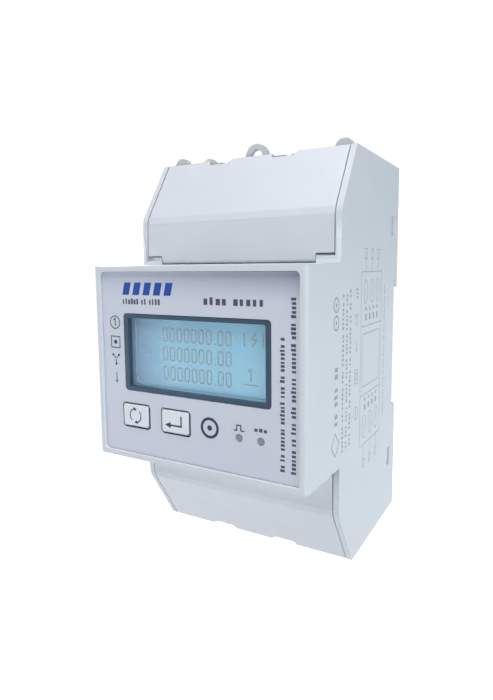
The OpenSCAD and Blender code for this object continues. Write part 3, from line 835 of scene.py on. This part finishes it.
def make_camera():
    data = bpy.data.cameras.new("camera")
    data.sensor_width = SENSOR
    data.lens = FOCAL_LENGTH
    data.shift_x, data.shift_y = SHIFT
    data.clip_start = 0.005
    camera = bpy.data.objects.new("camera", data)
    bpy.context.scene.collection.objects.link(camera)
    turn = Euler((math.radians(90 - CAMERA_PITCH), 0, math.radians(CAMERA_YAW))).to_matrix()
    roll = Matrix.Rotation(math.radians(CAMERA_ROLL), 3, "Z")
    camera.matrix_world = Matrix.Translation(CAMERA_PLACE) @ (turn @ roll).to_4x4()
    bpy.context.scene.camera = camera


def softbox(name, place, size, strength, colour):
    """A rectangular studio light that faces the middle of the meter"""
    data = bpy.data.lights.new(name, "AREA")
    data.shape = "RECTANGLE"
    data.size, data.size_y = size
    data.energy = strength
    data.color = colour
    light = bpy.data.objects.new(name, data)
    bpy.context.scene.collection.objects.link(light)
    light.location = place
    light.rotation_euler = (LIGHT_AIM - light.location).to_track_quat("-Z", "Y").to_euler()


def make_floor():
    """A plain white floor, well below the meter, which hangs as it would on its rail.

    Behind the meter and far away it gives its own light, as a lit studio sweep does.
    """
    shape = bmesh.new()
    bmesh.ops.create_grid(shape, x_segments=4, y_segments=4, size=FLOOR_REACH)
    mesh = bpy.data.meshes.new("floor")
    shape.to_mesh(mesh)
    shape.free()
    floor = bpy.data.objects.new("floor", mesh)
    floor.location.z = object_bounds()[0][2] - FLOOR_DROP
    bpy.context.scene.collection.objects.link(floor)
    paper = principled("floor_paper", Roughness=0.9, Emission_Color=(1, 1, 1, 1))
    plug(paper, blend_colours(paper, spread(paper, noise(paper, 60, 2), 0, 1), (0.9, 0.9, 0.9),
                              (0.92, 0.92, 0.92)), "Base Color")
    backwards = (-math.sin(math.radians(CAMERA_YAW)), math.cos(math.radians(CAMERA_YAW)), 0)
    along = add(paper, "VectorMath", {0: placed(paper), 1: backwards}, operation="DOT_PRODUCT")
    away = add(paper, "VectorMath", {0: placed(paper)}, operation="LENGTH")
    behind = ramp(paper, along.outputs["Value"], SWEEP_BEHIND, FLOOR_GLOW)
    far = ramp(paper, away.outputs["Value"], SWEEP_FAR, FLOOR_GLOW)
    plug(paper, add(paper, "Math", {0: behind, 1: far}, operation="MAXIMUM").outputs[0],
         "Emission Strength")
    mesh.materials.append(paper)


def make_world():
    """Even studio light, with a plain white backdrop where the camera sees past the floor"""
    world = bpy.data.worlds.new("studio")
    world.use_nodes = True
    tree = world.node_tree
    tree.nodes.clear()
    mix = tree.nodes.new("ShaderNodeMixShader")
    path = tree.nodes.new("ShaderNodeLightPath")
    tree.links.new(path.outputs["Is Camera Ray"], mix.inputs[0])
    for slot, strength in ((1, WORLD_LIT), (2, WORLD_SEEN)):
        backdrop = tree.nodes.new("ShaderNodeBackground")
        backdrop.inputs["Color"].default_value = (1, 1, 1, 1)
        backdrop.inputs["Strength"].default_value = strength
        tree.links.new(backdrop.outputs[0], mix.inputs[slot])
    out = tree.nodes.new("ShaderNodeOutputWorld")
    tree.links.new(mix.outputs[0], out.inputs["Surface"])
    bpy.context.scene.world = world


make_camera()
make_floor()
make_world()
# Place and size in metres, power in watts and colour of each light
softbox("top_light", (0.0, -0.35, 0.9), (0.7, 0.7), 8.2, (0.916, 0.951, 1.0))
softbox("right_light", (0.9, -0.3, 0.0), (0.5, 0.5), 3.4, (0.71, 0.86, 1.0))
softbox("low_left_light", (-0.5, -0.45, -0.15), (0.3, 0.2), 0.4, (0.6, 0.75, 1.0))
softbox("low_right_light", (0.6, -0.55, -0.25), (0.3, 0.3), 0.12, (0.9, 0.95, 1.0))
softbox("rear_light", (-0.8, 0.45, 0.3), (0.5, 0.5), 5.0, (1.0, 1.0, 1.0))
bpy.context.scene.view_settings.view_transform = "Standard"
